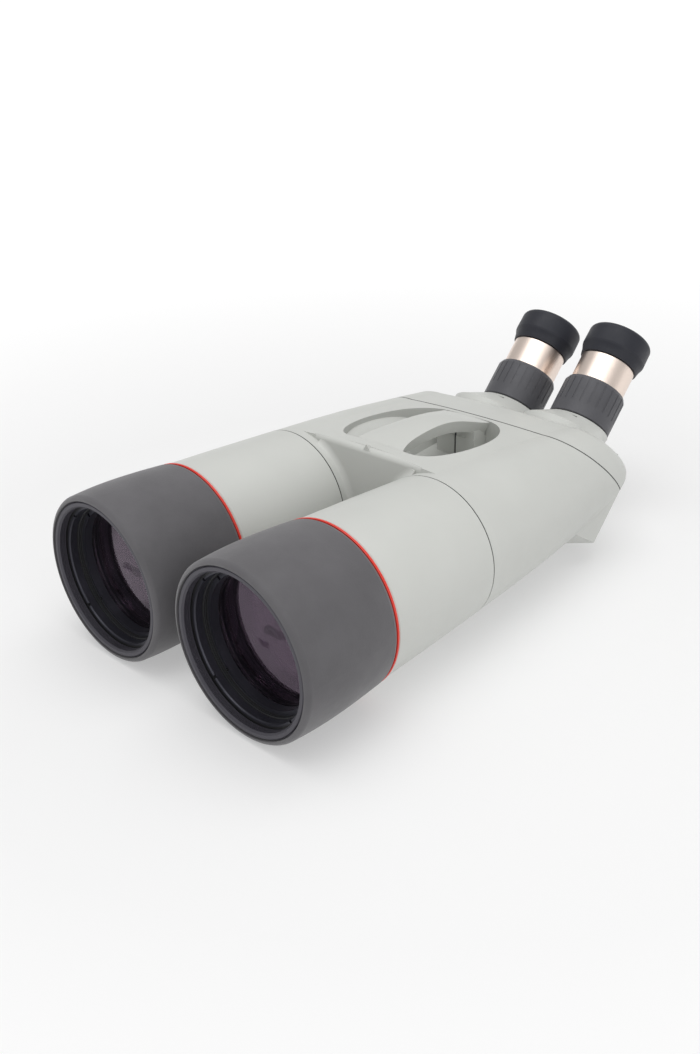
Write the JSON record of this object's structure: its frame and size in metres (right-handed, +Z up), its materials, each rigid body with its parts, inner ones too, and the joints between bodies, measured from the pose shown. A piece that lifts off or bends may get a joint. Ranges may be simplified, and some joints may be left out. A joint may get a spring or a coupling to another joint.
{
  "type": "astronomy binoculars",
  "caption": "Large twin-tube observation binoculars with angled eyepieces, sliding dew shields, carry handle and tripod foot.",
  "frame": {"origin": "mouth of the tripod thread, in the sole of the foot", "axes": "+X to the user's left, +Y from the objectives towards the eyepieces, +Z up, square to the sole"},
  "size_m": [0.2398, 0.4523, 0.1434],
  "materials": {
    "body_paint": "satin, fine texture",
    "dark_rubber": "plain",
    "black_felt": "plain",
    "black_anodised": "plain",
    "armour_rubber": "matt",
    "red_enamel": "plain",
    "coated_glass": "anti-reflection coated",
    "flat_black": "plain",
    "prism_glass": "plain",
    "bronze": "plain",
    "gear_brass": "plain",
    "focus_rubber": "plain",
    "champagne_metal": "satin anodised",
    "eyecup_rubber": "plain",
    "dark_steel": "plain",
    "steel": "plain"
  },
  "bodies": {
    "chassis": {"main_body": "body_paint", "rear_cover": "body_paint", "rear_cover_gasket": "dark_rubber", "rear_cover_screws": "dark_steel", "carry_handle": "body_paint", "handle_screws": "dark_steel", "mounting_foot": "body_paint", "foot_screws": "dark_steel", "tripod_thread_bush": "steel", "left_barrel": "body_paint", "right_barrel": "body_paint", "left_barrel_seal": "dark_rubber", "right_barrel_seal": "dark_rubber", "left_shield_guide_ring": "black_felt", "right_shield_guide_ring": "black_felt", "left_lens_cell": "black_anodised", "right_lens_cell": "black_anodised", "left_cell_ring": "black_anodised", "right_cell_ring": "black_anodised", "left_lens_ring": "black_anodised", "right_lens_ring": "black_anodised", "left_front_lens": "coated_glass", "right_front_lens": "coated_glass", "left_lens_spacer": "black_anodised", "right_lens_spacer": "black_anodised", "left_rear_lens": "coated_glass", "right_rear_lens": "coated_glass", "left_baffle_tube": "flat_black", "right_baffle_tube": "flat_black", "left_main_prism": "prism_glass", "right_main_prism": "prism_glass", "left_prism_holder": "flat_black", "right_prism_holder": "flat_black", "left_relay_prism": "prism_glass", "right_relay_prism": "prism_glass", "left_turret_bush": "bronze", "right_turret_bush": "bronze"},
    "left_shield_slide": {"left_dew_shield": "black_anodised", "left_shield_armour": "armour_rubber", "left_accent_ring": "red_enamel"},
    "left_turret_body": {"left_turret": "body_paint", "left_turret_prism": "prism_glass", "left_turret_gear": "gear_brass"},
    "left_focus_grip": {"left_focus_ring": "focus_rubber"},
    "left_eyepiece": {"left_eyepiece_barrel": "champagne_metal", "left_eyepiece_lenses": "coated_glass", "left_eyecup": "eyecup_rubber"},
    "right_shield_slide": {"right_dew_shield": "black_anodised", "right_shield_armour": "armour_rubber", "right_accent_ring": "red_enamel"},
    "right_turret_body": {"right_turret": "body_paint", "right_turret_prism": "prism_glass", "right_turret_gear": "gear_brass"},
    "right_focus_grip": {"right_focus_ring": "focus_rubber"},
    "right_eyepiece": {"right_eyepiece_barrel": "champagne_metal", "right_eyepiece_lenses": "coated_glass", "right_eyecup": "eyecup_rubber"}
  },
  "joints": [
    {"name": "left_dew_shield_slide", "type": "slide", "parent": "chassis", "child": "left_shield_slide", "axis": [0, -1, 0], "range_m": [0, 0.03]},
    {"name": "right_dew_shield_slide", "type": "slide", "parent": "chassis", "child": "right_shield_slide", "axis": [0, -1, 0], "range_m": [0, 0.03]},
    {"name": "left_turret_turn", "type": "hinge", "parent": "chassis", "child": "left_turret_body", "pos_m": [0.033, 0.14104, 0.07227], "axis": [0, 0.7071, 0.7071], "range_deg": [-17.01, 11.92]},
    {"name": "right_turret_turn", "type": "hinge", "parent": "chassis", "child": "right_turret_body", "pos_m": [-0.033, 0.14104, 0.07227], "axis": [0, 0.7071, 0.7071], "range_deg": [-11.92, 17.01]},
    {"name": "left_focus_turn", "type": "hinge", "parent": "left_turret_body", "child": "left_focus_grip", "pos_m": [0.0322, 0.16466, 0.07043], "axis": [0, 0.7071, 0.7071], "range_deg": [-180, 180]},
    {"name": "left_eyepiece_slide", "type": "slide", "parent": "left_turret_body", "child": "left_eyepiece", "axis": [0, 0.7071, 0.7071], "range_m": [-0.005, 0.005]},
    {"name": "right_focus_turn", "type": "hinge", "parent": "right_turret_body", "child": "right_focus_grip", "pos_m": [-0.0322, 0.16466, 0.07043], "axis": [0, 0.7071, 0.7071], "range_deg": [-180, 180]},
    {"name": "right_eyepiece_slide", "type": "slide", "parent": "right_turret_body", "child": "right_eyepiece", "axis": [0, 0.7071, 0.7071], "range_m": [-0.005, 0.005]}
  ],
  "couplings": [
    {"joint": "right_turret_turn", "follows": "left_turret_turn", "ratio": -1},
    {"joint": "left_eyepiece_slide", "follows": "left_focus_turn", "m_per_rad": 0.0015914},
    {"joint": "right_eyepiece_slide", "follows": "right_focus_turn", "m_per_rad": 0.0015914}
  ]
}
